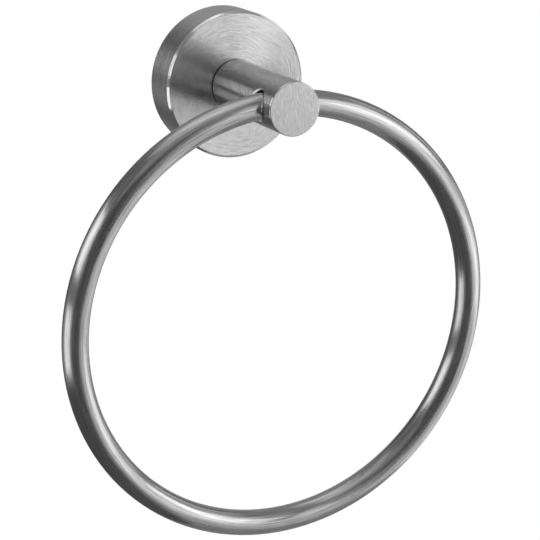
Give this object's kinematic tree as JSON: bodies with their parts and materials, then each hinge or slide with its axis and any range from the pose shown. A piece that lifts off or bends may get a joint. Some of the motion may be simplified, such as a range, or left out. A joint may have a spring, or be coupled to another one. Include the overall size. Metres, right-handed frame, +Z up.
{
  "type": "towel ring",
  "caption": "Wall-hung towel ring: a closed steel ring swings in a cross hole near the end of a round post on a round rose, locked over a hidden wall plate.",
  "frame": {"origin": "centre of the wall plate's back face, on the axis of the rose and the post", "axes": "+Y into the wall, -Y along the post to the front, +Z up, +X to the right seen from the front"},
  "size_m": [0.169, 0.064, 0.1915],
  "materials": {
    "brushed_ring": "satin, brushed along the tube",
    "brushed_post": "satin, turned side, straight grain on the end, polished edges",
    "brushed_rose": "satin, brushed in circles round the post, polished bevel",
    "screw_steel": "plain machined steel",
    "plate_steel": "plain machined steel"
  },
  "bodies": {
    "bracket": {"rose": "brushed_rose", "post": "brushed_post", "post_screw": "screw_steel", "post_washer": "screw_steel", "wall_plate": "plate_steel", "grub_screw": "screw_steel"},
    "ring": {"ring": "brushed_ring"}
  },
  "joints": [
    {"name": "ring_swing", "type": "hinge", "parent": "bracket", "child": "ring", "pos_m": [0, -0.0533, 0], "axis": [-1, 0, 0], "range_deg": [-17, 197]}
  ]
}
